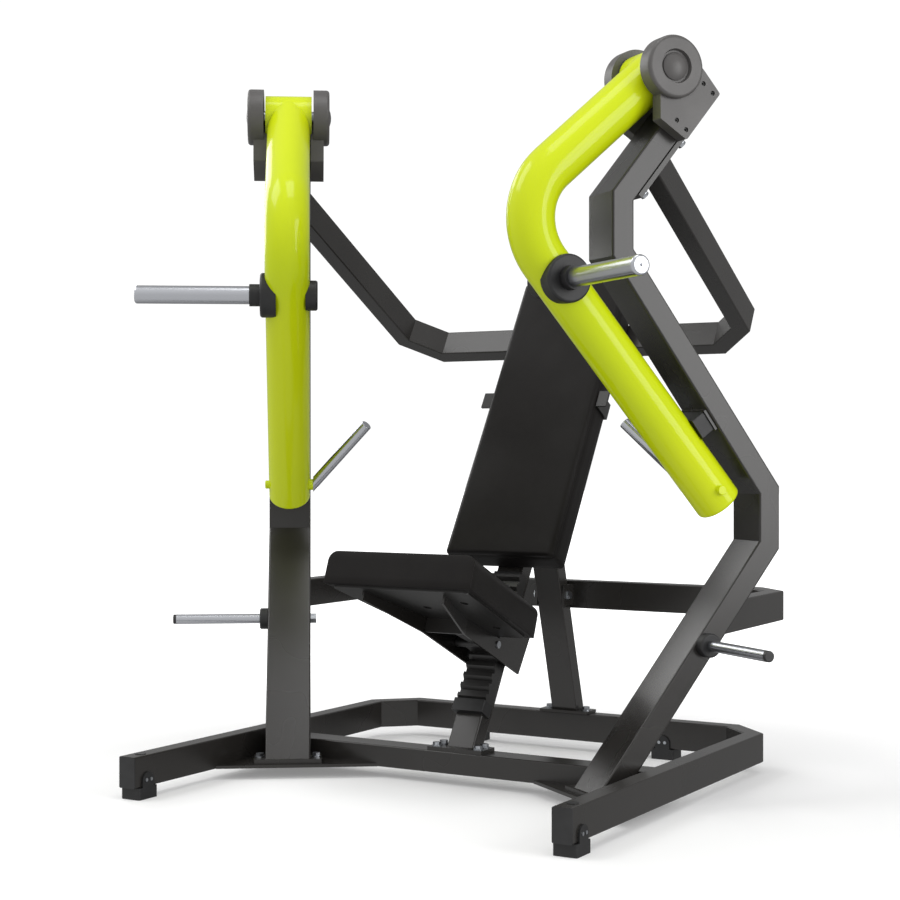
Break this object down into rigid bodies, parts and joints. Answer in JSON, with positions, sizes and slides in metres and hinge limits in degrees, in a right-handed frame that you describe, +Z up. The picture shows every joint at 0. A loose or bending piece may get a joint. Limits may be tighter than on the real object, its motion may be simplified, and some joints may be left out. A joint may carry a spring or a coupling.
{
  "type": "chest press machine",
  "caption": "Plate-loaded chest press: splayed uprights carry swinging lever arms with plate horns and handles; a sliding seat and a long backrest sit on a leaning spine.",
  "frame": {"origin": "centre of the footprint on the floor", "axes": "+Z up, +Y to the back of the machine (the user faces -Y), +X to the side of the right-hand arm"},
  "size_m": [1.7974, 1.3664, 1.889],
  "materials": {
    "frame_powder_coat": "satin dark charcoal powder coat",
    "bracket_coat": "satin dark grey paint on cast iron",
    "arm_gloss_green": "gloss lime green paint",
    "polished_chrome": "satin to polished chrome plate",
    "zinc_plated_steel": "bright zinc plate",
    "black_rubber": "moulded black rubber",
    "black_plastic": "moulded black plastic",
    "black_vinyl": "grained black upholstery vinyl over foam",
    "pad_board": "plywood board",
    "black_rack": "black powder coat"
  },
  "bodies": {
    "frame": {"arm_stop_buffers": "black_rubber", "arm_stop_plates": "frame_powder_coat", "backrest_board": "pad_board", "backrest_pad": "black_vinyl", "backrest_screws": "zinc_plated_steel", "backrest_straps": "black_rack", "base_crossbar": "frame_powder_coat", "base_gussets": "frame_powder_coat", "base_loop": "frame_powder_coat", "base_plate_bolts": "zinc_plated_steel", "floor_feet": "black_rubber", "foot_screws": "zinc_plated_steel", "frame_joint_bolts": "zinc_plated_steel", "frame_joint_plates": "frame_powder_coat", "gas_spring_bracket": "frame_powder_coat", "gas_spring_rod": "polished_chrome", "left_pivot_brackets": "bracket_coat", "left_upright": "frame_powder_coat", "mid_frame": "frame_powder_coat", "pivot_bracket_screws": "bracket_coat", "pivot_end_caps": "bracket_coat", "pivot_shafts": "zinc_plated_steel", "pivot_spacers": "zinc_plated_steel", "rack_cover": "black_rack", "rack_stop": "black_rubber", "rail_top_plugs": "black_plastic", "rear_post": "frame_powder_coat", "rear_yoke": "frame_powder_coat", "right_pivot_brackets": "bracket_coat", "right_upright": "frame_powder_coat", "spine_tube": "frame_powder_coat", "storage_peg_collars": "black_rubber", "storage_peg_nuts": "zinc_plated_steel", "storage_peg_tips": "black_plastic", "storage_pegs": "polished_chrome", "tube_base_plates": "frame_powder_coat", "tube_end_caps": "black_plastic"},
    "right_arm": {"right_arm": "arm_gloss_green", "right_handle": "polished_chrome", "right_horn_collar": "black_rubber", "right_horn_stud_cover": "black_rubber", "right_hub_bearings": "zinc_plated_steel", "right_plate_horn": "polished_chrome"},
    "left_arm": {"left_arm": "arm_gloss_green", "left_handle": "polished_chrome", "left_horn_collar": "black_rubber", "left_horn_stud_cover": "black_rubber", "left_hub_bearings": "zinc_plated_steel", "left_plate_horn": "polished_chrome"},
    "seat": {"seat_pad": "black_vinyl", "seat_board": "pad_board", "seat_plate": "black_rack", "carriage_cheeks": "frame_powder_coat", "carriage_ties": "frame_powder_coat", "carriage_glides": "black_plastic", "gas_spring_cylinder": "black_rack", "pawl_pin": "zinc_plated_steel"},
    "seat_latch": {"seat_pawl": "zinc_plated_steel"}
  },
  "joints": [
    {"name": "right_arm_swing", "type": "hinge", "parent": "frame", "child": "right_arm", "pos_m": [0.5534, -0.0707, 1.812], "axis": [-0.8192, 0.5736, 0], "range_deg": [0, 40]},
    {"name": "left_arm_swing", "type": "hinge", "parent": "frame", "child": "left_arm", "pos_m": [-0.5534, -0.0707, 1.812], "axis": [-0.8192, -0.5736, 0], "range_deg": [0, 40]},
    {"name": "seat_height", "type": "slide", "parent": "frame", "child": "seat", "axis": [0, 0.521, 0.8536], "range_m": [-0.06, 0.12]},
    {"name": "seat_latch_release", "type": "hinge", "parent": "seat", "child": "seat_latch", "pos_m": [0, 0.01873, 0.36323], "axis": [1, 0, 0], "range_deg": [0, 18], "stiffness_Nm_per_rad": 1.5, "springref_deg": -20.05}
  ]
}
